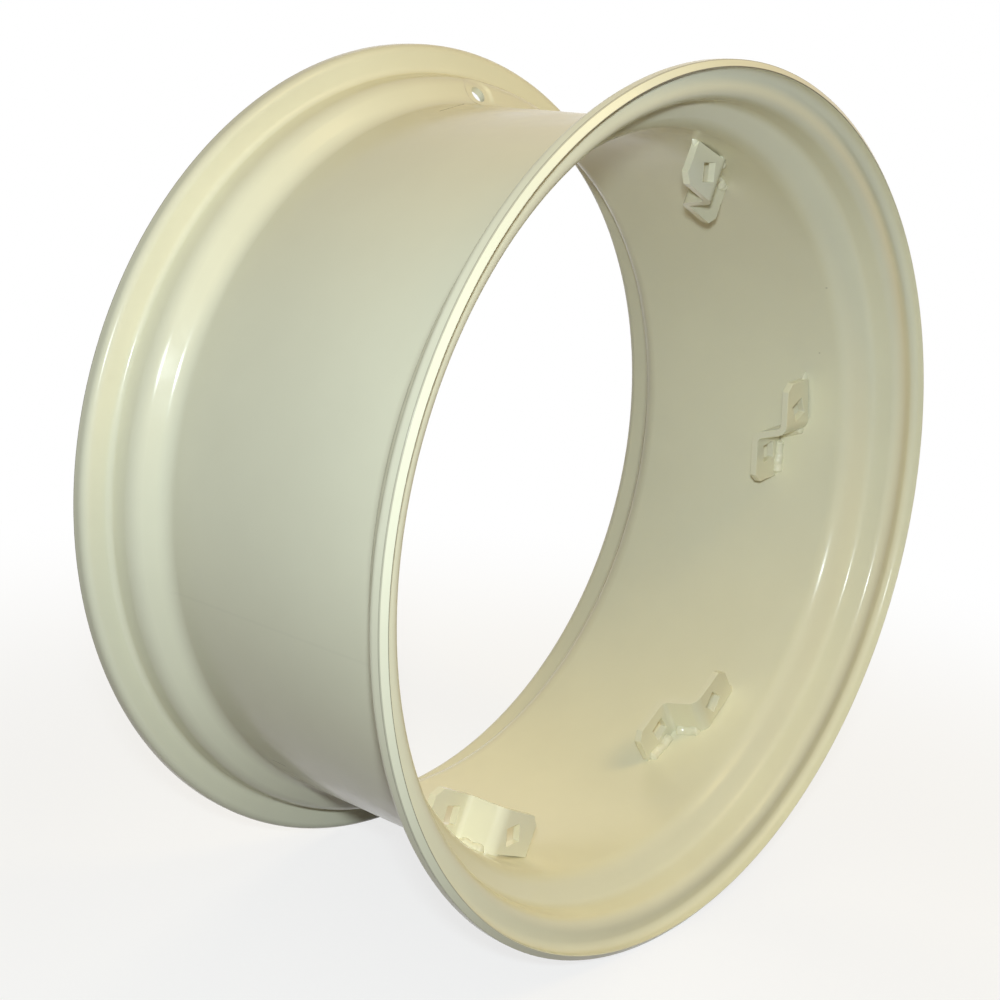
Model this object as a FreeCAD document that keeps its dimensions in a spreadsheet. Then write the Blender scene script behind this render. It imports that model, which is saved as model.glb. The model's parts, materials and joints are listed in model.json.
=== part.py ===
"""Tractor wheel rim: one rolled steel hoop with six two-hole lugs welded inside its well.

The wheel turns about the Y axis, +Z is up and the origin is the middle of the wheel.
The side that faces -Y carries the lugs' nearer ears. Lengths are millimetres, angles degrees.
"""
import FreeCAD
import Part
import Sketcher
import math
import os

SIZES = [
    # Rolled hoop, tyre side
    ("bead_diameter", 711.2, "nominal diameter at the bead heel"),
    ("rim_width", 325.0, "between the two flange faces"),
    ("flange_height", 25.4, "from the bead heel to the crest of the lip"),
    ("wall", 6.0, "thickness of the rolled sheet"),
    ("lip_inside", 6.7, "inside radius of the curled lip"),
    ("lip_run", 5.5, "straight run of the lip's underside past its bend"),
    ("lip_bevel", 5.0, "run along the axle of the lip's slanted edge"),
    ("heel_radius", 7.0, "fillet between flange and bead seat"),
    ("seat_width", 22.5, "bead seat, from flange face to shoulder"),
    ("seat_taper", 5.0, "fall of the bead seat towards the well"),
    ("shoulder_inside", 4.0, "inside radius between bead seat and well side"),
    ("well_depth", 25.4, "from the bead heel to the floor of the well"),
    ("well_slope", 45.0, "well side against the axle"),
    ("well_radius", 12.0, "fillet between well side and well floor"),
    # Valve hole in the well side
    ("valve_angle", 86.0, "place of the valve hole round the wheel"),
    ("valve_hole", 16.0, "diameter of the valve hole"),
    ("valve_pad", 30.0, "diameter of the flat floor of the dimple"),
    ("valve_dimple", 2.0, "depth of the pressed dimple"),
    # Lugs
    ("lug_count", 6, "lugs round the well"),
    ("lug_angle", 5.85, "place of the first lug round the wheel"),
    ("lug_offset", 81.0, "from the middle plane to the nearer ear's face"),
    ("lug_step", 33.0, "axial step from one ear to the other"),
    ("lug_length", 108.0, "whole lug along the well"),
    ("lug_height", 42.0, "ear, from the well to its free edge"),
    ("lug_thickness", 7.0, "strap the lug is bent from"),
    ("lug_slant", 10.0, "run along the well of the slanted middle"),
    ("bend_radius", 6.0, "inside radius of the lug's bends"),
    ("ear_chamfer", 8.0, "cut on the free corner of each ear"),
    ("bolt_square", 17.0, "side of the square bolt hole"),
    ("bolt_setback", 29.0, "bolt centre from the end of the ear"),
    ("near_bolt_turn", 24.5, "turn of the nearer ear's square against the lug"),
    ("far_bolt_turn", 7.0, "turn of the farther ear's square against the lug"),
    ("root_gap", 2.0, "gap under the nearer ear beside the bend"),
    # Fillet welds under the lugs
    ("weld_leg", 6.0, "leg of the fillet welds"),
    ("tack_setback", 1.0, "tack at the nearer ear's end, from the ear's face"),
    ("weld_inset", 3.0, "end of the farther ear's bead from the end of the ear"),
]
TRIM = 5.0
NEAR = 0.01

doc = FreeCAD.newDocument("tractor_wheel_rim")
sizes = doc.addObject("Spreadsheet::Sheet", "sizes")
for row, (alias, value, note) in enumerate(SIZES, start=1):
    sizes.set("A%d" % row, note)
    sizes.set("B%d" % row, str(value))
    sizes.setAlias("B%d" % row, alias)
doc.recompute()

# Places that several pieces share, as expressions of the sheet
WELL_RADIUS = "(sizes.bead_diameter / 2 - sizes.well_depth)"
BORE_RADIUS = "(sizes.bead_diameter / 2 - sizes.well_depth - sizes.wall)"
CREST_RADIUS = "(sizes.bead_diameter / 2 + sizes.flange_height)"
SEAT_FALL = "(sizes.seat_width * tan(sizes.seat_taper * 1 deg))"
SHOULDER_RADIUS = "(sizes.bead_diameter / 2 - %s)" % SEAT_FALL
SHOULDER_PLACE = "(sizes.rim_width / 2 - sizes.seat_width)"
SIDE_RISE = "(sizes.well_depth - %s)" % SEAT_FALL
SIDE_RUN = "(%s / tan(sizes.well_slope * 1 deg))" % SIDE_RISE
LIP_PLACE = "(sizes.rim_width / 2 + sizes.wall + sizes.lip_inside + sizes.lip_run)"
EAR_RADIUS = "(%s - sizes.lug_height)" % BORE_RADIUS
LUG_END = "(sizes.lug_length / 2)"
FAR_EAR = "(sizes.lug_step - sizes.lug_offset)"
SLANT_LENGTH = "sqrt(sizes.lug_step ^ 2 + sizes.lug_slant ^ 2)"
STRAP_SPREAD = "sizes.lug_thickness * %s" % SLANT_LENGTH
KNEE = ("(((sizes.lug_step - sizes.lug_thickness) * sizes.lug_slant + %s) / (2 * sizes.lug_step))"
        % STRAP_SPREAD)
OUTER_BEND = "(sizes.bend_radius + sizes.lug_thickness)"
ENDS_RADIUS = "sqrt((%s + %s) ^ 2 + (%s + sizes.weld_leg) ^ 2)" % (BORE_RADIUS, TRIM, LUG_END)
END_FOOT = "sqrt(%s ^ 2 - %s ^ 2)" % (BORE_RADIUS, LUG_END)
END_TOE = "sqrt(%s ^ 2 - (%s + sizes.weld_leg) ^ 2)" % (BORE_RADIUS, LUG_END)


def size(alias):
    """Value of one cell of the sheet."""
    return float(sizes.get(alias))


def bore_radius():
    """Radius of the hoop's bore, where the lugs sit."""
    return size("bead_diameter") / 2 - size("well_depth") - size("wall")


def origin_plane(body, role):
    """One of the body's own base planes."""
    return next(item for item in body.Origin.OriginFeatures if item.Role == role)


def new_body(label):
    """An empty body that carries a sub-part's name."""
    body = doc.addObject("PartDesign::Body", label)
    body.Label = label
    return body


def new_sketch(body, name, role):
    """A sketch on one of the body's base planes."""
    sketch = body.newObject("Sketcher::SketchObject", name)
    sketch.AttachmentSupport = [(origin_plane(body, role), "")]
    sketch.MapMode = "FlatFace"
    return sketch


def outline(sketch, points):
    """A closed chain of straight lines through the points, joined end to end."""
    corners = [FreeCAD.Vector(x, y, 0) for x, y in points]
    start = sketch.GeometryCount
    count = len(corners)
    for i in range(count):
        sketch.addGeometry(Part.LineSegment(corners[i], corners[(i + 1) % count]), False)
    for i in range(count):
        sketch.addConstraint(Sketcher.Constraint("Coincident", start + i, 2, start + (i + 1) % count, 1))
    return start


def align(sketch, upright, level):
    """Hold the listed lines upright or level."""
    for line in upright:
        sketch.addConstraint(Sketcher.Constraint("Vertical", line))
    for line in level:
        sketch.addConstraint(Sketcher.Constraint("Horizontal", line))


def place(sketch, kind, line, end, name, value, formula):
    """Hold one end of a line at a distance from the sketch's origin, driven by a formula."""
    bound(sketch, Sketcher.Constraint(kind, -1, 1, line, end, value), name, formula)


def bound(sketch, constraint, name, formula):
    """Add a constraint whose value follows a formula."""
    index = sketch.addConstraint(constraint)
    sketch.renameConstraint(index, name)
    sketch.setExpression("Constraints." + name, formula)


def rectangle(sketch, name, left, low, right, high):
    """A rectangle whose four sides follow formulas, each a pair of value and formula."""
    points = [(left[0], low[0]), (right[0], low[0]), (right[0], high[0]), (left[0], high[0])]
    first = outline(sketch, points)
    align(sketch, [first + 1, first + 3], [first, first + 2])
    place(sketch, "DistanceX", first, 1, name + "_left", left[0], left[1])
    place(sketch, "DistanceY", first, 1, name + "_low", low[0], low[1])
    place(sketch, "DistanceX", first + 2, 1, name + "_right", right[0], right[1])
    place(sketch, "DistanceY", first + 2, 1, name + "_high", high[0], high[1])


def solid_feature(body, kind, name, sketch, axis=None):
    """A feature of the body made from a sketch."""
    feature = body.newObject("PartDesign::" + kind, name)
    feature.Profile = sketch
    if axis:
        feature.ReferenceAxis = (sketch, [axis])
    return feature


def ring_edges(shape, corner):
    """Names of the circular edges through a corner of the section, on both sides of the wheel."""
    names = []
    for number, edge in enumerate(shape.Edges, start=1):
        circle = edge.Curve
        if not isinstance(circle, Part.Circle):
            continue
        same_radius = abs(circle.Radius - corner.x) < NEAR
        if same_radius and abs(abs(circle.Center.y) - corner.y) < NEAR:
            names.append("Edge%d" % number)
    return names


def line_edges(shape, spots):
    """Names of the straight edges whose middle lies at one of the spots."""
    names = []
    for number, edge in enumerate(shape.Edges, start=1):
        middle = edge.valueAt((edge.FirstParameter + edge.LastParameter) / 2)
        if any((middle - spot).Length < NEAR for spot in spots):
            names.append("Edge%d" % number)
    return names


def dress(body, kind, name, base, edges, measure, formula):
    """A fillet or chamfer on the named edges, driven by a formula."""
    if not edges:
        raise RuntimeError("no edge found for " + name)
    feature = body.newObject("PartDesign::" + kind, name)
    feature.Base = (base, edges)
    feature.setExpression(measure, formula)
    doc.recompute()
    return feature


def turned(angle):
    """Placement that turns a piece about the axle, from +X towards +Z."""
    return FreeCAD.Placement(FreeCAD.Vector(), FreeCAD.Rotation(FreeCAD.Vector(0, -1, 0), angle))


def section_corners():
    """Sharp corners of half the hoop's section: the tyre side, then the bore side, in (radius, axle)."""
    bead = size("bead_diameter") / 2
    well = bead - size("well_depth")
    wall = size("wall")
    flange = size("rim_width") / 2
    lip = flange + wall + size("lip_inside") + size("lip_run")
    crest = bead + size("flange_height")
    taper = math.radians(size("seat_taper"))
    slope = math.radians(size("well_slope"))
    shoulder = bead - size("seat_width") * math.tan(taper)
    shoulder_place = flange - size("seat_width")
    well_place = shoulder_place - (shoulder - well) / math.tan(slope)
    tyre_side = [(well, 0), (well, well_place), (shoulder, shoulder_place), (bead, flange),
                 (crest, flange), (crest, lip - size("lip_bevel"))]
    heel_place = flange + wall
    heel = bead - wall / math.cos(taper) + wall * math.tan(taper)
    half_turn = (slope - taper) / 2
    half_slope = slope / 2
    inner_shoulder = (shoulder - wall * math.cos((slope + taper) / 2) / math.cos(half_turn),
                      shoulder_place + wall * math.sin((slope + taper) / 2) / math.cos(half_turn))
    inner_well = (well - wall, well_place + wall * math.tan(half_slope))
    bore_side = [(crest - wall, lip), (crest - wall, heel_place), (heel, heel_place),
                 inner_shoulder, inner_well, (well - wall, 0)]
    return tyre_side + bore_side


def draw_section(body):
    """Half of the hoop's section, with sharp bends and an even wall."""
    sketch = new_sketch(body, "hoop_section", "XY_Plane")
    points = section_corners()
    outline(sketch, points)
    floor, side, seat, web, lip, edge, under_lip, front, under_seat, under_side, bore, middle = range(12)
    align(sketch, [floor, lip, under_lip, bore], [web, front, middle])
    sketch.addConstraint(Sketcher.Constraint("Parallel", seat, under_seat))
    sketch.addConstraint(Sketcher.Constraint("Parallel", side, under_side))
    place(sketch, "DistanceX", floor, 1, "well_floor", points[0][0], WELL_RADIUS)
    sketch.addConstraint(Sketcher.Constraint("PointOnObject", floor, 1, -1))
    place(sketch, "DistanceX", seat, 1, "shoulder_radius", points[2][0], SHOULDER_RADIUS)
    place(sketch, "DistanceY", seat, 1, "shoulder_place", points[2][1], SHOULDER_PLACE)
    run = points[2][1] - points[1][1]
    bound(sketch, Sketcher.Constraint("DistanceY", side, 1, side, 2, run), "side_run", SIDE_RUN)
    place(sketch, "DistanceX", web, 1, "bead_radius", points[3][0], "sizes.bead_diameter / 2")
    place(sketch, "DistanceY", web, 1, "flange_face", points[3][1], "sizes.rim_width / 2")
    place(sketch, "DistanceX", lip, 1, "crest", points[4][0], CREST_RADIUS)
    place(sketch, "DistanceY", edge, 1, "lip_corner", points[5][1], LIP_PLACE + " - sizes.lip_bevel")
    place(sketch, "DistanceY", edge, 2, "lip_end", points[6][1], LIP_PLACE)
    wall = size("wall")
    bound(sketch, Sketcher.Constraint("DistanceX", edge, 2, edge, 1, wall), "wall_lip", "sizes.wall")
    bound(sketch, Sketcher.Constraint("DistanceX", middle, 1, middle, 2, wall), "wall_floor", "sizes.wall")
    bound(sketch, Sketcher.Constraint("DistanceY", web, 2, front, 1, wall), "wall_flange", "sizes.wall")
    bound(sketch, Sketcher.Constraint("Distance", under_side, 1, seat, wall), "wall_seat", "sizes.wall")
    bound(sketch, Sketcher.Constraint("Distance", under_side, 1, side, wall), "wall_side", "sizes.wall")
    return sketch


def bend_hoop(body, base, sketch):
    """Round every bend of the hoop: each pair keeps the wall even, inside radius plus wall."""
    corners = [sketch.Geometry[i].StartPoint for i in range(12)]
    bends = [
        ("well_bend", 1, "sizes.well_radius"),
        ("under_well_bend", 10, "sizes.well_radius + sizes.wall"),
        ("shoulder_bend", 2, "sizes.shoulder_inside + sizes.wall"),
        ("under_shoulder_bend", 9, "sizes.shoulder_inside"),
        ("heel_bend", 3, "sizes.heel_radius"),
        ("under_heel_bend", 8, "sizes.heel_radius + sizes.wall"),
        ("lip_bend", 4, "sizes.lip_inside + sizes.wall"),
        ("under_lip_bend", 7, "sizes.lip_inside"),
    ]
    feature = base
    for name, corner, radius in bends:
        edges = ring_edges(feature.Shape, corners[corner])
        feature = dress(body, "Fillet", name, feature, edges, "Radius", radius)
    return feature


def valve_sketch(body, name):
    """A sketch in the middle of the well side, its upright axis along the valve hole."""
    sketch = new_sketch(body, name, "XY_Plane")
    sketch.AttachmentOffset = FreeCAD.Placement(FreeCAD.Vector(1, 1, 0),
                                                FreeCAD.Rotation(FreeCAD.Vector(0, 0, 1), -135))
    sketch.setExpression("AttachmentOffset.Base.x", "(%s + %s) / 2" % (WELL_RADIUS, SHOULDER_RADIUS))
    sketch.setExpression("AttachmentOffset.Base.y", "%s - %s / 2" % (SHOULDER_PLACE, SIDE_RUN))
    sketch.setExpression("AttachmentOffset.Rotation.Angle", "-90 - sizes.well_slope")
    return sketch


def frustum(sketch, low, low_formula, high, high_formula, wide_is_high):
    """Half section of a cone frustum about the sketch's upright axis, its flanks at 45 degrees.

    The narrow end has the diameter of the valve pad.
    """
    half = size("valve_pad") / 2
    rise = high - low
    bottom, top = (half, half + rise) if wide_is_high else (half + rise, half)
    first = outline(sketch, [(0, low), (bottom, low), (top, high), (0, high)])
    align(sketch, [first + 3], [first, first + 2])
    sketch.addConstraint(Sketcher.Constraint("PointOnObject", first, 1, -2))
    place(sketch, "DistanceY", first, 1, "low", low, low_formula)
    place(sketch, "DistanceY", first + 2, 1, "high", high, high_formula)
    rise_formula = "(%s) - (%s)" % (high_formula, low_formula)
    narrow, wide = "sizes.valve_pad / 2", "sizes.valve_pad / 2 + " + rise_formula
    place(sketch, "DistanceX", first, 2, "bottom", bottom, narrow if wide_is_high else wide)
    place(sketch, "DistanceX", first + 2, 1, "top", top, wide if wide_is_high else narrow)


def press_valve_seat(body):
    """Dimple in one well side with an even wall, and the valve hole through it."""
    wall = size("wall")
    dimple = size("valve_dimple")
    bump = valve_sketch(body, "valve_bump_section")
    frustum(bump, -wall - dimple, "-sizes.wall - sizes.valve_dimple", -wall / 2, "-sizes.wall / 2", True)
    solid_feature(body, "Revolution", "valve_bump", bump, "V_Axis")
    dent = valve_sketch(body, "valve_dent_section")
    frustum(dent, -dimple, "-sizes.valve_dimple", TRIM, str(TRIM), True)
    solid_feature(body, "Groove", "valve_dent", dent, "V_Axis")
    hole = valve_sketch(body, "valve_hole_section")
    depth = (-wall - dimple - TRIM, "-sizes.wall - sizes.valve_dimple - %s" % TRIM)
    radius = (size("valve_hole") / 2, "sizes.valve_hole / 2")
    rectangle(hole, "hole", (0, "0"), depth, radius, (TRIM, str(TRIM)))
    feature = solid_feature(body, "Groove", "valve_hole", hole, "V_Axis")
    doc.recompute()
    return feature


def make_rim():
    """The rolled hoop, symmetric about the middle plane, with its valve hole."""
    body = new_body("rim")
    sketch = draw_section(body)
    half = solid_feature(body, "Revolution", "half_hoop", sketch, "V_Axis")
    both = body.newObject("PartDesign::Mirrored", "both_halves")
    both.Originals = [half]
    both.MirrorPlane = (origin_plane(body, "XZ_Plane"), [""])
    body.Tip = both
    doc.recompute()
    bend_hoop(body, both, sketch)
    body.Tip = press_valve_seat(body)
    body.Placement = turned(size("valve_angle"))
    return body


def trim_to_bore(body, name):
    """Cut away what reaches past the hoop's bore, so that the piece seats on it all along."""
    sketch = new_sketch(body, name + "_section", "XY_Plane")
    bore = bore_radius()
    half = size("rim_width") / 2
    ends = math.hypot(bore + TRIM, size("lug_length") / 2 + size("weld_leg"))
    rectangle(sketch, "trim", (bore, BORE_RADIUS), (-half, "-sizes.rim_width / 2"),
              (ends + TRIM, "%s + %s" % (ENDS_RADIUS, TRIM)), (half, "sizes.rim_width / 2"))
    return solid_feature(body, "Groove", name, sketch, "V_Axis")


def draw_strap(body):
    """The lug's bent strap seen from the axle: two ears and a slanted middle of one thickness."""
    sketch = new_sketch(body, "strap_section", "YZ_Plane")
    sketch.setExpression("AttachmentOffset.Base.z", EAR_RADIUS)
    thick = size("lug_thickness")
    step = size("lug_step")
    slant = size("lug_slant")
    near = -size("lug_offset")
    far = near + step
    end = size("lug_length") / 2
    spread = thick / 2 * math.hypot(step, slant)
    bend = ((thick + step) / 2 * slant - spread) / step
    knee = ((step - thick) / 2 * slant + spread) / step
    outline(sketch, [(near, end), (near, bend), (far, -knee), (far, -end), (far + thick, -end),
                     (far + thick, -bend), (near + thick, knee), (near + thick, end)])
    near_face, slant_face, far_face, far_end, far_back, slant_back, near_back, near_end = range(8)
    align(sketch, [near_face, far_face, far_back, near_back], [far_end, near_end])
    sketch.addConstraint(Sketcher.Constraint("Parallel", slant_face, slant_back))
    sketch.addConstraint(Sketcher.Constraint("Equal", near_face, far_back))
    place(sketch, "DistanceX", near_face, 1, "near_ear", near, "-sizes.lug_offset")
    place(sketch, "DistanceX", far_face, 1, "far_ear", far, FAR_EAR)
    place(sketch, "DistanceY", near_face, 1, "end", end, LUG_END)
    place(sketch, "DistanceY", far_end, 1, "other_end", -end, "-" + LUG_END)
    strap = "sizes.lug_thickness"
    bound(sketch, Sketcher.Constraint("DistanceX", far_end, 1, far_end, 2, thick), "far_strap", strap)
    bound(sketch, Sketcher.Constraint("DistanceX", near_end, 2, near_end, 1, thick), "near_strap", strap)
    bound(sketch, Sketcher.Constraint("Distance", slant_back, 1, slant_face, thick), "slant_strap", strap)
    bound(sketch, Sketcher.Constraint("DistanceY", slant_face, 2, slant_face, 1, slant), "slant",
          "sizes.lug_slant")
    return sketch


def bend_strap(body, pad, sketch):
    """Round the two bends of the strap, inside and outside."""
    middle = FreeCAD.Vector(bore_radius() + (TRIM - size("lug_height")) / 2, 0, 0)
    corners = [sketch.Geometry[i].StartPoint for i in range(8)]
    outside = [middle + FreeCAD.Vector(0, corners[i].x, corners[i].y) for i in (1, 5)]
    inside = [middle + FreeCAD.Vector(0, corners[i].x, corners[i].y) for i in (2, 6)]
    feature = dress(body, "Fillet", "outside_bends", pad, line_edges(pad.Shape, outside), "Radius",
                    "sizes.bend_radius + sizes.lug_thickness")
    return dress(body, "Fillet", "inside_bends", feature, line_edges(feature.Shape, inside), "Radius",
                 "sizes.bend_radius")


def cut_free_corners(body, base):
    """Chamfer the free corner at the end of each ear."""
    thick = size("lug_thickness")
    end = size("lug_length") / 2
    free = bore_radius() - size("lug_height")
    near = thick / 2 - size("lug_offset")
    spots = [FreeCAD.Vector(free, near, end), FreeCAD.Vector(free, near + size("lug_step"), -end)]
    return dress(body, "Chamfer", "free_corners", base, line_edges(base.Shape, spots), "Size",
                 "sizes.ear_chamfer")


def punch_bolt_hole(body, name, reach_sign):
    """A square hole through the middle height of one ear, turned against the lug."""
    sketch = new_sketch(body, name + "_square", "XZ_Plane")
    sketch.AttachmentOffset = FreeCAD.Placement(FreeCAD.Vector(1, 1, 0),
                                                FreeCAD.Rotation(FreeCAD.Vector(0, 0, 1), 1))
    sketch.setExpression("AttachmentOffset.Base.x", "%s + sizes.lug_height / 2" % EAR_RADIUS)
    sketch.setExpression("AttachmentOffset.Base.y",
                         "%d * (%s - sizes.bolt_setback)" % (reach_sign, LUG_END))
    sketch.setExpression("AttachmentOffset.Rotation.Angle", "sizes.%s_turn" % name)
    half = size("bolt_square") / 2
    low = (-half, "-sizes.bolt_square / 2")
    high = (half, "sizes.bolt_square / 2")
    rectangle(sketch, "square", low, low, high, high)
    feature = solid_feature(body, "Pocket", name + "_hole", sketch)
    feature.Type = "ThroughAll"
    feature.Midplane = True
    return feature


def relieve_root(body):
    """Cut the foot of the nearer ear straight, so that it stands clear of the bore beside the bend."""
    sketch = new_sketch(body, "root_wedge", "XZ_Plane")
    bore = bore_radius()
    end = size("lug_length") / 2
    start = size("bend_radius") + size("lug_thickness")
    touch = math.sqrt(bore ** 2 - end ** 2)
    clear = bore - size("root_gap")
    outline(sketch, [(clear, start), (bore + TRIM, start), (bore + TRIM, end), (touch, end)])
    foot, outside, top, slope = range(4)
    align(sketch, [outside], [foot, top])
    place(sketch, "DistanceX", foot, 1, "clear", clear, BORE_RADIUS + " - sizes.root_gap")
    place(sketch, "DistanceY", foot, 1, "start", start, OUTER_BEND)
    place(sketch, "DistanceX", outside, 1, "outside", bore + TRIM, "%s + %s" % (BORE_RADIUS, TRIM))
    place(sketch, "DistanceX", slope, 1, "touch", touch, END_FOOT)
    place(sketch, "DistanceY", slope, 1, "end", end, LUG_END)
    feature = solid_feature(body, "Pocket", "root_relief", sketch)
    feature.Type = "ThroughAll"
    feature.Midplane = True
    return feature


def draw_bead(sketch, face, formula):
    """Section of a fillet weld against a lug's face, with its root on the bore and its back past it."""
    bore = bore_radius()
    leg = size("weld_leg")
    past = bore + TRIM
    outline(sketch, [(bore - leg, face), (bore, face - leg), (past, face - leg), (past, face)])
    slope, toe, back, front = range(4)
    align(sketch, [back], [toe, front])
    place(sketch, "DistanceX", slope, 1, "height", bore - leg, BORE_RADIUS + " - sizes.weld_leg")
    place(sketch, "DistanceY", slope, 1, "face", face, formula)
    place(sketch, "DistanceX", toe, 1, "root", bore, BORE_RADIUS)
    place(sketch, "DistanceY", toe, 1, "toe", face - leg, formula + " - sizes.weld_leg")
    place(sketch, "DistanceX", back, 1, "back", past, "%s + %s" % (BORE_RADIUS, TRIM))


def end_tack(body, name):
    """A tack between the end of the nearer ear and the bore, as deep as the strap."""
    sketch = new_sketch(body, name + "_section", "XZ_Plane")
    sketch.setExpression("AttachmentOffset.Base.z", "sizes.lug_offset - sizes.lug_thickness")
    bore = bore_radius()
    leg = size("weld_leg")
    end = size("lug_length") / 2
    foot = math.sqrt(bore ** 2 - end ** 2) - leg
    toe = math.sqrt(bore ** 2 - (end + leg) ** 2)
    outline(sketch, [(foot, end), (bore + TRIM, end), (bore + TRIM, end + leg), (toe, end + leg)])
    root, back, top, slope = range(4)
    align(sketch, [back], [root, top])
    place(sketch, "DistanceX", root, 1, "foot", foot, END_FOOT + " - sizes.weld_leg")
    place(sketch, "DistanceY", root, 1, "end", end, LUG_END)
    place(sketch, "DistanceX", back, 1, "back", bore + TRIM, "%s + %s" % (BORE_RADIUS, TRIM))
    place(sketch, "DistanceX", slope, 1, "toe", toe, END_TOE)
    place(sketch, "DistanceY", slope, 1, "toe_end", end + leg, LUG_END + " + sizes.weld_leg")
    feature = solid_feature(body, "Pad", name, sketch)
    feature.setExpression("Length", "sizes.lug_thickness - sizes.tack_setback")


def far_bead(body, name):
    """A bead along the foot of the farther ear's face, from its end to the bend."""
    sketch = new_sketch(body, name + "_section", "XY_Plane")
    sketch.AttachmentOffset = FreeCAD.Placement(FreeCAD.Vector(),
                                                FreeCAD.Rotation(FreeCAD.Vector(0, 1, 0), 1))
    draw_bead(sketch, size("lug_step") - size("lug_offset"), FAR_EAR)
    start = "asin((sizes.weld_inset - %s) / %s)" % (LUG_END, BORE_RADIUS)
    stop = "asin((-%s - sizes.bend_radius - sizes.weld_leg) / %s)" % (KNEE, BORE_RADIUS)
    sketch.setExpression("AttachmentOffset.Rotation.Angle", "-(%s + %s) / 2" % (start, stop))
    feature = solid_feature(body, "Revolution", name, sketch, "V_Axis")
    feature.Midplane = True
    feature.setExpression("Angle", "%s - %s" % (stop, start))


def slant_bead(body, name):
    """A bead along the foot of the slanted middle, on the side of the farther ear's face."""
    sketch = new_sketch(body, name + "_section", "XZ_Plane")
    sketch.AttachmentOffset = FreeCAD.Placement(FreeCAD.Vector(),
                                                FreeCAD.Rotation(FreeCAD.Vector(1, 0, 0), -1))
    draw_bead(sketch, 0, "0")
    clear = "sizes.bend_radius"
    sketch.setExpression("AttachmentOffset.Rotation.Angle", "-atan(sizes.lug_slant / sizes.lug_step)")
    sketch.setExpression("AttachmentOffset.Base.y", "-%s + sizes.lug_slant * %s / %s"
                         % (KNEE, clear, SLANT_LENGTH))
    sketch.setExpression("AttachmentOffset.Base.z", "-%s + sizes.lug_step * %s / %s"
                         % (FAR_EAR, clear, SLANT_LENGTH))
    feature = solid_feature(body, "Pad", name, sketch)
    feature.setExpression("Length", "%s - %s - %s" % (SLANT_LENGTH, clear, OUTER_BEND))


def make_weld(number, angle):
    """The fillet welds that hold one lug: along the farther ear, the slanted middle and one tack."""
    body = new_body("weld_%d" % number)
    end_tack(body, "tack")
    far_bead(body, "far_bead")
    slant_bead(body, "slant_bead")
    body.Tip = trim_to_bore(body, "bore_seat")
    body.Placement = turned(angle)
    return body


def make_lug(number, angle):
    """One lug: a strap with two bends, trimmed to the bore of the hoop."""
    body = new_body("lug_%d" % number)
    sketch = draw_strap(body)
    pad = solid_feature(body, "Pad", "strap", sketch)
    pad.setExpression("Length", "sizes.lug_height + %s" % TRIM)
    doc.recompute()
    bent = bend_strap(body, pad, sketch)
    cut_free_corners(body, bent)
    trim_to_bore(body, "bore_seat")
    relieve_root(body)
    punch_bolt_hole(body, "near_bolt", 1)
    body.Tip = punch_bolt_hole(body, "far_bolt", -1)
    body.Placement = turned(angle)
    return body


def finished(pieces):
    """Stop if any object failed, or if a piece has no valid solid."""
    doc.recompute()
    for item in doc.Objects:
        if "Invalid" in item.State or "Error" in item.State:
            raise RuntimeError("%s failed: %s" % (item.Name, item.State))
    for piece in pieces:
        shape = piece.Shape
        if shape.isNull() or not shape.isValid() or not shape.Solids:
            raise RuntimeError("%s has no valid solid" % piece.Label)


def main():
    """Build every piece, test it and write its file."""
    pieces = [make_rim()]
    count = int(size("lug_count"))
    for i in range(count):
        angle = size("lug_angle") + 360.0 * i / count
        pieces.append(make_lug(i + 1, angle))
        pieces.append(make_weld(i + 1, angle))
    finished(pieces)
    os.makedirs("parts", exist_ok=True)
    for piece in pieces:
        piece.Shape.exportStep(os.path.join("parts", piece.Label + ".step"))
        print("%-8s %9.1f mm3  %d solid" % (piece.Label, piece.Shape.Volume, len(piece.Shape.Solids)))


main()
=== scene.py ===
"""Looks of a tractor wheel rim: the painted hoop, its lugs and weld beads, in a plain studio.

Lengths of the object are given in millimetres and turned into metres where a mesh is made.
The wheel turns about the Y axis. Angles round it run from +X towards +Z.
"""
import json
import math

import bmesh
import bpy
from mathutils import Matrix, Vector, noise


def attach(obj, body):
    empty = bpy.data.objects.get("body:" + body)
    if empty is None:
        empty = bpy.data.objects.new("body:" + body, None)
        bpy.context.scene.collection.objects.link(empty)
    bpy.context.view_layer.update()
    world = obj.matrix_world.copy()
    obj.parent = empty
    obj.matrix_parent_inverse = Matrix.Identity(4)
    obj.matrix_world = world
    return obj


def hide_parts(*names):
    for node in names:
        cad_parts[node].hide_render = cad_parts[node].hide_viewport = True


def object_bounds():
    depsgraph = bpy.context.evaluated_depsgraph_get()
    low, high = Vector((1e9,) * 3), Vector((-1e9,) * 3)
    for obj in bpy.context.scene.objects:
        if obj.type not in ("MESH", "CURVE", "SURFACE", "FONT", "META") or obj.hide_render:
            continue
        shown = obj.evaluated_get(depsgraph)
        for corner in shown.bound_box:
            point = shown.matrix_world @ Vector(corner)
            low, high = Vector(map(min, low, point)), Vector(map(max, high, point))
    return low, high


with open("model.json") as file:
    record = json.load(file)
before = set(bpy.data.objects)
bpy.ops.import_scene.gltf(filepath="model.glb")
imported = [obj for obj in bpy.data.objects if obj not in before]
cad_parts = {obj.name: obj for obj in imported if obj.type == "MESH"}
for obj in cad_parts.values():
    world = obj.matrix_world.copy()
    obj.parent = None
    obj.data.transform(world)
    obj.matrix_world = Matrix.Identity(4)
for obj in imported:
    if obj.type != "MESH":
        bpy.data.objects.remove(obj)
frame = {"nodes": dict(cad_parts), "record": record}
cad_low, cad_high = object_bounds()

MM = 0.001
mounts = {mount["name"]: mount for mount in frame["record"]["mounts"]}

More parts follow.
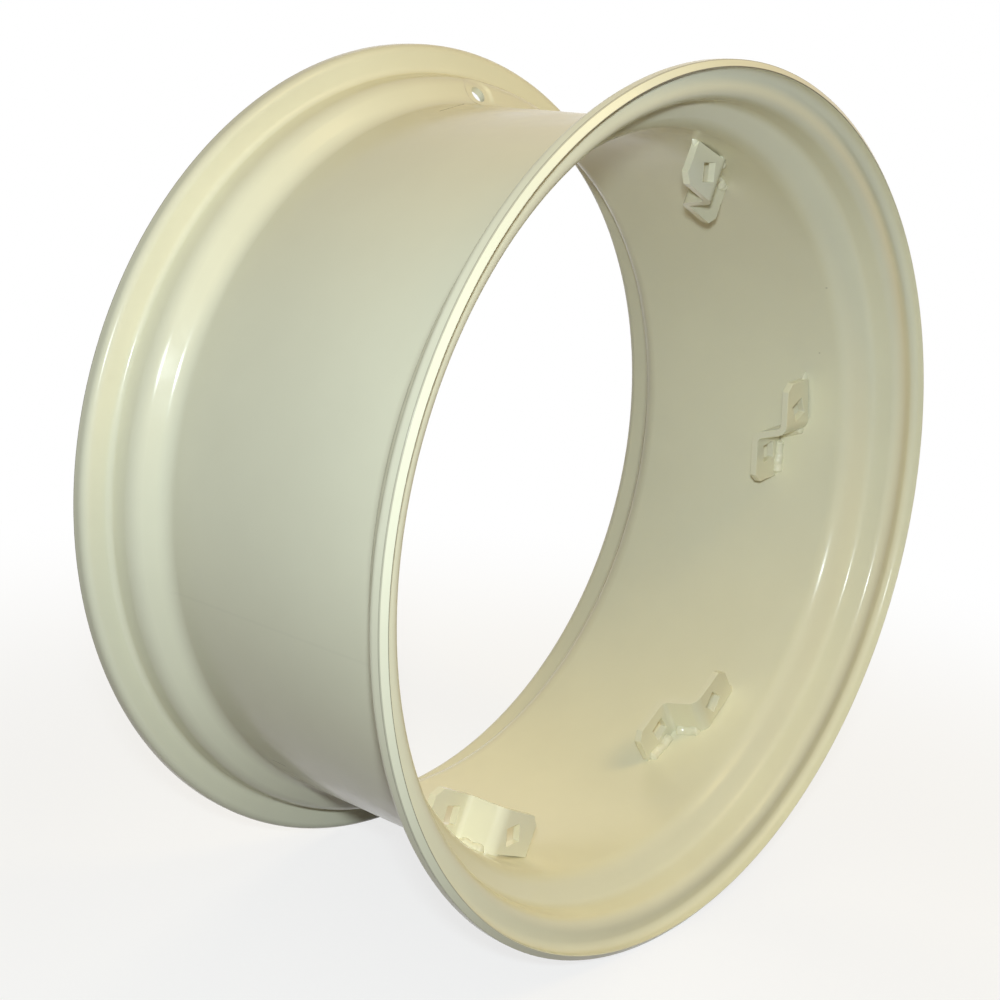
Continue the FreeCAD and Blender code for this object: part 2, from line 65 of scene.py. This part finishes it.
# Section of the hoop. Its bends follow the highlights in the photograph, so some of them
# differ by up to 2.4 mm from the solid's.
BEAD = mounts["bead_seats"]["dims"]["r_mm"]
FLANGE = mounts["bead_seats"]["dims"]["length_mm"] / 2
CREST = cad_high.x / MM
LIP_END = cad_high.y / MM
WALL = 6.0
LIP_INSIDE = 6.7
LIP_BEVEL = 5.0
LIP_BEND = 7.0
LIP_ROUND = 0.6
HEEL_RADIUS = 5.5
SEAT_WIDTH = 25.8
SEAT_TAPER = math.radians(5.0)
SHOULDER_INSIDE = 11.0
WELL_DEPTH = 25.4
WELL_SLOPE = math.radians(54.0)
WELL_RADIUS = 16.0
BORE = BEAD - WELL_DEPTH - WALL

# Valve seat
VALVE_PLACE = Vector(mounts["valve_hole"]["pos_m"]) / MM
VALVE_AXIS = Vector(mounts["valve_hole"]["axis"]).normalized()
VALVE_ANGLE = math.atan2(VALVE_PLACE.z, VALVE_PLACE.x)
VALVE_RADIUS = mounts["valve_hole"]["dims"]["r_mm"]
VALVE_PAD = 15.0
VALVE_BLEND = 4.0
VALVE_DIMPLE = 2.0

# Lugs and their weld beads
LUG_COUNT = mounts["lug_bolts"]["dims"]["count"]
LUG_ANGLE = math.radians(5.85)
LUG_FACE = mounts["lug_face"]["pos_m"][1] / MM
LUG_STEP = 33.0
LUG_SLANT = 10.0
LUG_THICKNESS = 7.0
LUG_END = 54.0
LUG_BEND = 6.0
LUG_EDGE = 0.9
WELD_LEG = 6.0
WELD_INSET = 3.0
SLANT_INSET = 2.0
TACK_SETBACK = 1.0

# Shape of a bead: root sunk into the metal, sweep in degrees, and shares of its leg for the
# end's height, the ripples and the lumps
BEAD_SINK = 0.5
BEAD_SWEEP = (-4, 98)
BEAD_SIDES = 8
BEAD_END = 0.25
BEAD_BASE = 0.98
RIPPLE = 5.0
RIPPLE_HEIGHT = 0.04
LUMP_LENGTH = 8
LUMP_HEIGHT = 0.3
LUMP_SEED = 3.7

# Fineness of the meshes, and the angles that tell bends from flats and edges
ROUND_STEPS = 240
FINE_STEPS = 48
FINE_SPAN = math.radians(6.0)
ARC_STEP = math.radians(11.5)
LONGEST = 5.0
HOLD = 0.8
BEAD_STEP = 0.6
HOLE_SIDES = 64
EDGE_STEPS = 3
SAME_POINT = 0.002
FLAT_ANGLE = math.radians(0.5)
LUG_EDGE_ANGLE = math.radians(35)
HOOP_EDGE_ANGLE = math.radians(50)

# Camera, solved from the photograph's perspective
CAMERA_PLACE = Vector((-1.18086, -0.95636, 0.33766))
CAMERA_LOOK = Vector((0.74178, 0.63071, -0.22797)).normalized()
CAMERA_UP = Vector((0.12646, 0.20229, 0.97113))
CAMERA_RIGHT = CAMERA_LOOK.cross(CAMERA_UP).normalized()
FOCAL_PIXELS = 1711.9
IMAGE_PIXELS = 1000
SENSOR = 36.0

# Lamps, each with its place, size in metres, watts, colour and whether reflections show it:
# a small key just above the lens, a large warm fill above and a large one behind for the back,
# whose glare would clip the top of the barrel
LAMPS = [
    ("key", CAMERA_PLACE + CAMERA_UP * 0.11, 0.09, 14.6, (0.86, 0.98, 1.05), True),
    ("fill", Vector((0.35, -1.05, 1.4)), 0.8, 8.5, (1.0, 0.74, 0.30), True),
    ("back", Vector((1.3, 1.4, 0.9)), 1.2, 16.0, (1.0, 0.86, 0.56), False),
]

# Light of the world at the sides and overhead, and how it falls off between them
SKY_SIDE = (0.04, 0.04, 0.04)
SKY_TOP = (0.34, 0.26, 0.11)
SKY_FALLOFF = 2.0
SKY_SEEN = (1.0, 1.0, 1.0)

# Floor: its half width, what it throws back at the object, how it is seen, and the distances
# and shares over which it turns to plain white
FLOOR_REACH = 20.0
FLOOR_BOUNCE = (0.13, 0.10, 0.06)
FLOOR_SEEN = (0.9, 0.9, 0.9)
FLOOR_ROUGHNESS = 0.9
FLOOR_FADE = (0.4, 1.4)
FLOOR_WHITE = (0.78, 1.0)

# Marks on the paint, by the photograph's pixels: two ends, width in millimetres and depth of tone
MARKS = [
    ((440, 111), (464, 104), 1.6, 0.8),
    ((273, 760), (285, 766), 2.0, 0.6),
    ((284, 770), (310, 785), 1.6, 0.6),
    ((826, 288), (827, 288), 1.5, 0.4),
    ((819, 353), (820, 353), 1.2, 0.4),
]
# Longest part of a mark in pixels, so that it follows the curved surface
MARK_STEP = 8.0
MARK_COLOR = (0.10, 0.08, 0.05)

# The hoop's butt weld, ground flush: a pixel on it, where it is full and where it ends, in
# millimetres from its middle, and its depth of tone
SEAM_PIXEL = (280, 632)
SEAM_REACH = (0.6, 2.0)
SEAM_DEPTH = 0.035
SEAM_COLOR = (0.30, 0.28, 0.22)

# Painted shade lines along the lips' cut edge: width in millimetres and depth of tone, and the side of
# the wheel on which the painted shade lies, with the distances along it between which the lines come up
INNER_SHADE_LINE = (1.5, 0.85)
OUTER_SHADE_LINE = (1.1, 0.45)
LIP_SHADE_COLOR = (0.10, 0.07, 0.04)
SHADED_SIDE = math.radians(140.0)
SHADED_RANGE = (-0.15, 0.2)

# Enamel: its colour, the clouds of tone in it, the dust on it and its uneven gloss
IVORY = (0.85, 0.825, 0.64)
CLOUD_SCALE = 5.0
CLOUD_TONES = (0.97, 1.02)
DUST = (0.62, 0.57, 0.42)
DUST_SCALE = 9.0
DUST_SHARE = 0.08
GLOSS_SCALE = 35.0
GLOSS_SPREAD = (-0.03, 0.05)
HOOP_FINISH = {"roughness": 0.2, "specular": 0.2, "peel_height": 0.006, "peel_scale": 150.0}
LUG_FINISH = {"roughness": 0.16, "specular": 0.4, "peel_height": 0.01, "peel_scale": 120.0}
WELD_FINISH = {"roughness": 0.16, "specular": 0.4, "peel_height": 0.03, "peel_scale": 250.0}


def section_corners():
    """Sharp corners of the hoop's section in (radius, axle), each with its bend radius."""
    well = BEAD - WELL_DEPTH
    shoulder = BEAD - SEAT_WIDTH * math.tan(SEAT_TAPER)
    shoulder_place = FLANGE - SEAT_WIDTH
    well_place = shoulder_place - (shoulder - well) / math.tan(WELL_SLOPE)
    heel = BEAD - WALL / math.cos(SEAT_TAPER) + WALL * math.tan(SEAT_TAPER)
    half_turn = (WELL_SLOPE - SEAT_TAPER) / 2
    middle = (WELL_SLOPE + SEAT_TAPER) / 2
    under_shoulder = (shoulder - WALL * math.cos(middle) / math.cos(half_turn),
                      shoulder_place + WALL * math.sin(middle) / math.cos(half_turn))
    under_well = (well - WALL, well_place + WALL * math.tan(WELL_SLOPE / 2))
    tyre_side = [((well, well_place), WELL_RADIUS), ((shoulder, shoulder_place), SHOULDER_INSIDE + WALL),
                 ((BEAD, FLANGE), HEEL_RADIUS), ((CREST, FLANGE), LIP_BEND)]
    edge = [((CREST, LIP_END - LIP_BEVEL), LIP_ROUND), ((CREST - WALL, LIP_END), LIP_ROUND)]
    bore_side = [((CREST - WALL, FLANGE + WALL), LIP_INSIDE), ((heel, FLANGE + WALL), HEEL_RADIUS + WALL),
                 (under_shoulder, SHOULDER_INSIDE), (under_well, WELL_RADIUS + WALL)]
    half = tyre_side + edge + bore_side
    other = [((r, -y), radius) for (r, y), radius in reversed(half)]
    return [(Vector(corner), radius) for corner, radius in half + other]


def rounded_corner(before, corner, after, radius):
    """Points of the arc that rounds one corner of an outline."""
    to_before = (before - corner).normalized()
    to_after = (after - corner).normalized()
    half = to_before.angle(to_after) / 2
    centre = corner + (to_before + to_after).normalized() * radius / math.sin(half)
    first = corner + to_before * radius / math.tan(half) - centre
    last = corner + to_after * radius / math.tan(half) - centre
    turn = first.angle_signed(last)
    steps = max(3, math.ceil(abs(turn) / ARC_STEP))
    return [centre + Matrix.Rotation(-turn * k / steps, 2) @ first for k in range(steps + 1)]


def run_between(start, finish):
    """Inner points of a straight run: one close to each end, to hold the shading, and others between."""
    run = finish - start
    hold = min(HOLD, run.length / 3) / run.length
    parts = max(1, math.ceil(run.length / LONGEST))
    shares = [hold] + [k / parts for k in range(1, parts)] + [1 - hold]
    return [start + run * share for share in shares]


def section_outline():
    """Closed outline of the hoop's section, with an arc at each corner."""
    corners = section_corners()
    arcs = []
    for i, (corner, radius) in enumerate(corners):
        after = corners[(i + 1) % len(corners)][0]
        arcs.append(rounded_corner(corners[i - 1][0], corner, after, radius))
    points = []
    for i, arc in enumerate(arcs):
        points += arc
        points += run_between(arc[-1], arcs[(i + 1) % len(arcs)][0])
    return points


def round_angles():
    """Angles round the wheel, closer together at the valve seat."""
    coarse = [VALVE_ANGLE + FINE_SPAN + (2 * math.pi - 2 * FINE_SPAN) * i / ROUND_STEPS
              for i in range(ROUND_STEPS)]
    fine = [VALVE_ANGLE - FINE_SPAN + 2 * FINE_SPAN * i / FINE_STEPS for i in range(FINE_STEPS)]
    return coarse + fine


def make_mesh(name, bm):
    """An object made from a bmesh, shaded smooth."""
    bmesh.ops.recalc_face_normals(bm, faces=bm.faces)
    mesh = bpy.data.meshes.new(name)
    bm.to_mesh(mesh)
    bm.free()
    for polygon in mesh.polygons:
        polygon.use_smooth = True
    piece = bpy.data.objects.new(name, mesh)
    bpy.context.scene.collection.objects.link(piece)
    return piece


def settle(piece):
    """Replace a piece's mesh by what its modifiers make of it."""
    graph = bpy.context.evaluated_depsgraph_get()
    mesh = bpy.data.meshes.new_from_object(piece.evaluated_get(graph))
    piece.modifiers.clear()
    piece.data = mesh


def add_piece(piece, node, material):
    """Give a piece its finish and its body, and hide the node that it stands for."""
    piece.data.materials.clear()
    piece.data.materials.append(material)
    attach(piece, "root")
    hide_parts(node)


def smoothstep(low, high, value):
    """0 below low, 1 above high and smooth between them."""
    t = min(1.0, max(0.0, (value - low) / (high - low)))
    return t * t * (3 - 2 * t)


def pressed(point):
    """A point of the hoop after the valve seat was pressed into the well side."""
    offset = point - VALVE_PLACE
    depth = offset.dot(VALVE_AXIS)
    aside = (offset - VALVE_AXIS * depth).length
    if aside > 2 * VALVE_PAD or abs(depth) > 2 * WALL:
        return point
    return point - VALVE_AXIS * VALVE_DIMPLE * (1 - smoothstep(VALVE_PAD, VALVE_PAD + VALVE_BLEND, aside))


def make_hoop():
    """The rolled hoop turned from its section, with the pressed valve seat and its hole."""
    outline = section_outline()
    bm = bmesh.new()
    rings = []
    for angle in round_angles():
        radial = Vector((math.cos(angle), 0, math.sin(angle)))
        rings.append([bm.verts.new(pressed(radial * r + Vector((0, y, 0))) * MM) for r, y in outline])
    count = len(outline)
    for i, ring in enumerate(rings):
        before = rings[i - 1]
        for j in range(count):
            k = (j + 1) % count
            bm.faces.new((before[j], before[k], ring[k], ring[j]))
    hoop = make_mesh("hoop", bm)
    cut_valve_hole(hoop)
    return hoop


def cut_valve_hole(hoop):
    """Cut the round valve hole through the pressed seat."""
    bm = bmesh.new()
    turn = VALVE_AXIS.to_track_quat("Z", "Y").to_matrix().to_4x4()
    radius = VALVE_RADIUS * MM
    bmesh.ops.create_cone(bm, cap_ends=True, segments=HOLE_SIDES, radius1=radius, radius2=radius,
                          depth=6 * WALL * MM, matrix=Matrix.Translation(VALVE_PLACE * MM) @ turn)
    cutter = make_mesh("valve_cutter", bm)
    cut = hoop.modifiers.new("valve_hole", "BOOLEAN")
    cut.object = cutter
    cut.operation = "DIFFERENCE"
    cut.solver = "EXACT"
    settle(hoop)
    bpy.data.objects.remove(cutter)
    hoop.data.set_sharp_from_angle(angle=HOOP_EDGE_ANGLE)


def make_lug(node):
    """A lug with its sheared edges slightly rolled over, made on the shape of its solid."""
    bm = bmesh.new()
    bm.from_mesh(frame["nodes"][node].data)
    bmesh.ops.remove_doubles(bm, verts=bm.verts, dist=SAME_POINT * MM)
    bmesh.ops.dissolve_limit(bm, angle_limit=FLAT_ANGLE, verts=bm.verts, edges=bm.edges)
    edges = [edge for edge in bm.edges
             if len(edge.link_faces) == 2 and edge.calc_face_angle() > LUG_EDGE_ANGLE]
    bmesh.ops.bevel(bm, geom=edges, offset=LUG_EDGE * MM, segments=EDGE_STEPS, profile=0.5,
                    affect="EDGES", clamp_overlap=True)
    lug = make_mesh(node + "_strap", bm)
    lug.modifiers.new("flat_faces", "WEIGHTED_NORMAL")
    return lug


def bead_frames(start, finish, face):
    """Places along a bead between two (axle, along) points, each with the directions of its two legs."""
    length = (finish - start).length
    steps = math.ceil(length / BEAD_STEP)
    frames = []
    for i in range(steps + 1):
        y, z = start + (finish - start) * i / steps
        inward = Vector((-math.sqrt(BORE ** 2 - z ** 2), 0, -z)) / BORE
        root = Vector((math.sqrt(BORE ** 2 - z ** 2), y, z))
        frames.append((root, inward, Vector((0, face[0], face[1])), length * i / steps, length))
    return frames


def add_bead(bm, frames, seed, turn):
    """A convex bead with the ripples of its puddle, lumps and tapered ends."""
    rings = []
    for root, inward, face, along, length in frames:
        ends = math.sqrt(smoothstep(0, WELD_LEG / 2, along) * smoothstep(0, WELD_LEG / 2, length - along))
        ripple = abs(math.sin(math.pi * along / RIPPLE))
        ring = [root - inward * BEAD_SINK - face * BEAD_SINK]
        for k in range(BEAD_SIDES + 1):
            angle = math.radians(BEAD_SWEEP[0] + BEAD_SWEEP[1] * k / BEAD_SIDES)
            lump = noise.noise(Vector((along / LUMP_LENGTH, angle / 2, seed * LUMP_SEED)))
            swell = BEAD_BASE + RIPPLE_HEIGHT * ripple + LUMP_HEIGHT * lump
            reach = WELD_LEG * (BEAD_END + (1 - BEAD_END) * ends) * swell
            ring.append(root + (inward * math.cos(angle) + face * math.sin(angle)) * reach)
        rings.append([bm.verts.new(turn @ (point * MM)) for point in ring])
    for before, after in zip(rings, rings[1:]):
        for j in range(len(before)):
            k = (j + 1) % len(before)
            bm.faces.new((before[j], before[k], after[k], after[j]))
    bm.faces.new(rings[0])
    bm.faces.new(rings[-1])


def make_welds(number):
    """The beads that hold one lug: along the farther ear, along the slanted middle and one end tack."""
    slant = Vector((-LUG_STEP, LUG_SLANT)).normalized()
    length = math.hypot(LUG_STEP, LUG_SLANT)
    far_face = LUG_FACE + LUG_STEP
    knee = ((LUG_STEP - LUG_THICKNESS) * LUG_SLANT + LUG_THICKNESS * length) / (2 * LUG_STEP)
    corner = Vector((far_face, -knee))
    outer_bend = LUG_BEND + LUG_THICKNESS
    turn = Matrix.Rotation(-LUG_ANGLE - 2 * math.pi * (number - 1) / LUG_COUNT, 4, "Y")
    bm = bmesh.new()
    add_bead(bm, bead_frames(Vector((far_face, WELD_INSET - LUG_END)),
                             Vector((far_face, -knee - LUG_BEND - WELD_LEG / 2)), (-1, 0)), number, turn)
    add_bead(bm, bead_frames(corner + slant * SLANT_INSET, corner + slant * (length - outer_bend / 2),
                             (-slant.y, slant.x)), number + 10, turn)
    add_bead(bm, bead_frames(Vector((LUG_FACE + LUG_THICKNESS, LUG_END)),
                             Vector((LUG_FACE + TACK_SETBACK, LUG_END)), (0, 1)), number + 20, turn)
    return make_mesh("weld_%d_beads" % number, bm)


class Shader:
    """Short ways to add and join the nodes of one material."""

    def __init__(self, name):
        self.material = bpy.data.materials.new(name)
        self.material.use_nodes = True
        self.nodes = self.material.node_tree.nodes
        self.links = self.material.node_tree.links
        self.surface = self.nodes["Principled BSDF"]
        self.place = self.nodes.new("ShaderNodeTexCoord").outputs["Object"]

    def feed(self, socket, value):
        """Set a socket, or join it to the output of another node."""
        if isinstance(value, bpy.types.NodeSocket):
            self.links.new(value, socket)
        else:
            socket.default_value = value

    def math(self, operation, *values):
        """A number worked out from others."""
        node = self.nodes.new("ShaderNodeMath")
        node.operation = operation
        for socket, value in zip(node.inputs, values):
            self.feed(socket, value)
        return node.outputs[0]

    def vector(self, operation, *values, output="Vector"):
        """A vector, or a number, worked out from vectors."""
        node = self.nodes.new("ShaderNodeVectorMath")
        node.operation = operation
        for socket, value in zip(node.inputs, values):
            self.feed(socket, value)
        return node.outputs[output]

    def ramp(self, value, low, high, start=0.0, end=1.0):
        """A number that goes from start to end as the value goes from low to high."""
        node = self.nodes.new("ShaderNodeMapRange")
        node.interpolation_type = "SMOOTHSTEP"
        for name, number in (("Value", value), ("From Min", low), ("From Max", high),
                             ("To Min", start), ("To Max", end)):
            self.feed(node.inputs[name], number)
        return node.outputs["Result"]

    def noise(self, scale, detail, low=0.3, high=0.7):
        """Even noise over the object, from 0 to 1."""
        node = self.nodes.new("ShaderNodeTexNoise")
        node.inputs["Scale"].default_value = scale
        node.inputs["Detail"].default_value = detail
        self.links.new(self.place, node.inputs["Vector"])
        return self.ramp(node.outputs["Fac"], low, high)

    def mix(self, share, first, second):
        """A blend of two colours."""
        node = self.nodes.new("ShaderNodeMix")
        node.data_type = "RGBA"
        self.feed(node.inputs["Factor"], share)
        self.feed(node.inputs["A"], first)
        self.feed(node.inputs["B"], second)
        return node.outputs["Result"]

    def streak(self, start, finish, width, depth):
        """A thin mark on the surface between two of its points."""
        along = finish - start
        offset = self.vector("SUBTRACT", self.place, start)
        share = self.vector("DOT_PRODUCT", offset, along / along.length_squared, output="Value")
        share = self.math("MINIMUM", self.math("MAXIMUM", share, 0.0), 1.0)
        foot = self.nodes.new("ShaderNodeVectorMath")
        foot.operation = "SCALE"
        foot.inputs[0].default_value = along
        self.links.new(share, foot.inputs["Scale"])
        gap = self.vector("DISTANCE", offset, foot.outputs["Vector"], output="Value")
        return self.ramp(gap, width * MM / 4, width * MM / 2, depth, 0.0)


def rgba(color, factor=1.0):
    """A colour with full alpha, lightened or darkened."""
    return (color[0] * factor, color[1] * factor, color[2] * factor, 1.0)


def enamel(name, roughness, specular, peel_height, peel_scale):
    """Gloss ivory enamel: clouds of tone, settled dust, orange peel and uneven gloss."""
    shader = Shader(name)
    surface = shader.surface
    surface.inputs["Specular IOR Level"].default_value = specular
    darker, lighter = (rgba(IVORY, factor) for factor in CLOUD_TONES)
    tone = shader.mix(shader.noise(CLOUD_SCALE, 4.0), darker, lighter)
    dust = shader.math("MULTIPLY", shader.noise(DUST_SCALE, 3.0, 0.35, 0.75), DUST_SHARE)
    color = shader.mix(dust, tone, rgba(DUST))
    smoother, rougher = (roughness + change for change in GLOSS_SPREAD)
    gloss = shader.ramp(shader.noise(GLOSS_SCALE, 3.0), 0.0, 1.0, smoother, rougher)
    shader.feed(surface.inputs["Roughness"], gloss)
    bump = shader.nodes.new("ShaderNodeBump")
    bump.inputs["Strength"].default_value = 1.0
    bump.inputs["Distance"].default_value = peel_height * MM
    shader.links.new(shader.noise(peel_scale, 2.0, 0.2, 0.8), bump.inputs["Height"])
    shader.links.new(bump.outputs["Normal"], surface.inputs["Normal"])
    shader.links.new(color, surface.inputs["Base Color"])
    return shader, color


def mark_hoop(shader, color, hoop):
    """Scratches, specks and the flush butt weld that the photograph shows on the hoop's paint, and
    painted shade lines along the lips.
    """
    for start, finish, width, depth in MARKS:
        first, last = Vector(start), Vector(finish)
        parts = math.ceil((last - first).length / MARK_STEP)
        places = [seen_at(hoop, first.lerp(last, i / parts)) for i in range(parts + 1)]
        for place, following in zip(places, places[1:]):
            mark = shader.streak(place, following, width, depth)
            color = shader.mix(mark, color, rgba(MARK_COLOR))
    seam = seen_at(hoop, SEAM_PIXEL)
    around = Vector((-seam.z, 0, seam.x)).normalized()
    radial = Vector((seam.x, 0, seam.z)).normalized()
    aside = shader.math("ABSOLUTE", shader.vector("DOT_PRODUCT", shader.place, around, output="Value"))
    line = shader.ramp(aside, SEAM_REACH[0] * MM, SEAM_REACH[1] * MM, SEAM_DEPTH, 0.0)
    reach = shader.vector("DOT_PRODUCT", shader.place, radial, output="Value")
    front = shader.ramp(reach, BORE * MM, (BORE + 1) * MM)
    below = shader.ramp(reach, (BEAD - WELL_DEPTH + 1) * MM, (BEAD - WELL_DEPTH + 4) * MM, 1.0, 0.0)
    line = shader.math("MULTIPLY", line, shader.math("MULTIPLY", front, below))
    color = shader.mix(line, color, rgba(SEAM_COLOR))
    # Painted shade along the lips' cut-edge corners
    color = shade_lip_corners(shader, color)
    shader.links.new(color, shader.surface.inputs["Base Color"])


def shade_lip_corners(shader, color):
    """Painted shade: thin dark lines along the two corners of the lips' cut edge, darkest on the upper
    side of the wheel.
    """
    sides = shader.nodes.new("ShaderNodeCombineXYZ")
    flat = shader.vector("MULTIPLY", shader.place, (1, 0, 1))
    shader.links.new(shader.vector("LENGTH", flat, output="Value"), sides.inputs["X"])
    axle = shader.vector("DOT_PRODUCT", shader.place, (0, 1, 0), output="Value")
    shader.links.new(shader.math("ABSOLUTE", axle), sides.inputs["Y"])
    toward_shade = Vector((math.cos(SHADED_SIDE), 0, math.sin(SHADED_SIDE)))
    upper = shader.ramp(shader.vector("DOT_PRODUCT", shader.place, toward_shade, output="Value"), *SHADED_RANGE)
    inner = Vector((CREST - WALL, LIP_END, 0)) * MM
    outer = Vector((CREST, LIP_END - LIP_BEVEL, 0)) * MM
    # Painted shade: each corner's line darkens the colour, most on the upper side
    for corner, (width, depth) in ((inner, INNER_SHADE_LINE), (outer, OUTER_SHADE_LINE)):
        gap = shader.vector("DISTANCE", sides.outputs["Vector"], corner, output="Value")
        line = shader.ramp(gap, width / 2 * MM, width * MM, depth, 0.0)
        color = shader.mix(shader.math("MULTIPLY", line, upper), color, rgba(LIP_SHADE_COLOR))
    return color


def seen_at(piece, pixel):
    """Point of a piece that the camera sees at a pixel of the photograph."""
    x, y = ((pixel[0] - IMAGE_PIXELS / 2) / FOCAL_PIXELS, (IMAGE_PIXELS / 2 - pixel[1]) / FOCAL_PIXELS)
    ray = CAMERA_LOOK + CAMERA_RIGHT * x + CAMERA_RIGHT.cross(CAMERA_LOOK) * y
    hit, place, _, _ = piece.ray_cast(CAMERA_PLACE, ray)
    if not hit:
        raise RuntimeError("no surface at pixel %s" % (pixel,))
    return place


def seen_white(links, nodes):
    """1 for what the camera, a reflection or a clear piece sees directly, 0 for light on the object."""
    path = nodes.new("ShaderNodeLightPath")
    either = path.outputs["Is Camera Ray"]
    for name in ("Is Glossy Ray", "Is Transmission Ray"):
        node = nodes.new("ShaderNodeMath")
        node.operation = "MAXIMUM"
        links.new(either, node.inputs[0])
        links.new(path.outputs[name], node.inputs[1])
        either = node.outputs[0]
    return either


def make_floor():
    """A pale floor that keeps the object's shadow and turns white away from it."""
    bm = bmesh.new()
    bmesh.ops.create_grid(bm, x_segments=1, y_segments=1, size=FLOOR_REACH)
    floor = make_mesh("floor", bm)
    floor.location.z = cad_low.z
    shader = Shader("floor_white")
    tint = shader.mix(seen_white(shader.links, shader.nodes), rgba(FLOOR_BOUNCE), rgba(FLOOR_SEEN))
    shader.links.new(tint, shader.surface.inputs["Base Color"])
    shader.surface.inputs["Roughness"].default_value = FLOOR_ROUGHNESS
    white = shader.nodes.new("ShaderNodeEmission")
    mixer = shader.nodes.new("ShaderNodeMixShader")
    apart = shader.vector("LENGTH", shader.place, output="Value")
    share = shader.ramp(apart, *FLOOR_FADE, *FLOOR_WHITE)
    share = shader.math("MULTIPLY", share, seen_white(shader.links, shader.nodes))
    shader.links.new(share, mixer.inputs["Fac"])
    shader.links.new(shader.surface.outputs["BSDF"], mixer.inputs[1])
    shader.links.new(white.outputs["Emission"], mixer.inputs[2])
    shader.links.new(mixer.outputs["Shader"], shader.nodes["Material Output"].inputs["Surface"])
    floor.data.materials.append(shader.material)


def make_world():
    """Warm soft light from above, falling off to the sides, on a white background."""
    world = bpy.data.worlds.new("studio")
    bpy.context.scene.world = world
    world.use_nodes = True
    nodes = world.node_tree.nodes
    links = world.node_tree.links
    coords = nodes.new("ShaderNodeTexCoord")
    parts = nodes.new("ShaderNodeSeparateXYZ")
    links.new(coords.outputs["Generated"], parts.inputs[0])
    height = nodes.new("ShaderNodeMapRange")
    links.new(parts.outputs["Z"], height.inputs["Value"])
    falloff = nodes.new("ShaderNodeMath")
    falloff.operation = "POWER"
    links.new(height.outputs["Result"], falloff.inputs[0])
    falloff.inputs[1].default_value = SKY_FALLOFF
    sky = nodes.new("ShaderNodeMix")
    sky.data_type = "RGBA"
    links.new(falloff.outputs[0], sky.inputs["Factor"])
    sky.inputs["A"].default_value = rgba(SKY_SIDE)
    sky.inputs["B"].default_value = rgba(SKY_TOP)
    pick = nodes.new("ShaderNodeMix")
    pick.data_type = "RGBA"
    links.new(seen_white(links, nodes), pick.inputs["Factor"])
    links.new(sky.outputs["Result"], pick.inputs["A"])
    pick.inputs["B"].default_value = rgba(SKY_SEEN)
    links.new(pick.outputs["Result"], nodes["Background"].inputs["Color"])


def soft_lamp(name, place, size, watts, color, reflected):
    """A round soft box that points at the wheel's middle, and may be kept out of reflections."""
    lamp = bpy.data.lights.new(name, "AREA")
    lamp.shape = "DISK"
    lamp.size = size
    lamp.energy = watts
    lamp.color = color
    thing = bpy.data.objects.new(name, lamp)
    thing.location = place
    thing.rotation_euler = (-place).to_track_quat("-Z", "Y").to_euler()
    thing.visible_glossy = reflected
    bpy.context.scene.collection.objects.link(thing)


def make_camera():
    """Camera at the photograph's place, for a square image."""
    data = bpy.data.cameras.new("camera")
    data.sensor_width = SENSOR
    data.lens = FOCAL_PIXELS * SENSOR / IMAGE_PIXELS
    camera = bpy.data.objects.new("camera", data)
    turn = Matrix((CAMERA_RIGHT, CAMERA_RIGHT.cross(CAMERA_LOOK), -CAMERA_LOOK)).transposed()
    camera.matrix_world = Matrix.Translation(CAMERA_PLACE) @ turn.to_4x4()
    bpy.context.scene.collection.objects.link(camera)
    bpy.context.scene.camera = camera


bpy.context.scene.view_settings.view_transform = "Standard"
make_camera()
hoop = make_hoop()
hoop_paint, hoop_color = enamel("ivory_enamel", **HOOP_FINISH)
mark_hoop(hoop_paint, hoop_color, hoop)
add_piece(hoop, "rim", hoop_paint.material)
lug_paint, _ = enamel("lug_enamel", **LUG_FINISH)
weld_paint, _ = enamel("weld_enamel", **WELD_FINISH)
for number in range(1, LUG_COUNT + 1):
    add_piece(make_lug("lug_%d" % number), "lug_%d" % number, lug_paint.material)
    add_piece(make_welds(number), "weld_%d" % number, weld_paint.material)
make_floor()
make_world()
for lamp in LAMPS:
    soft_lamp(*lamp)
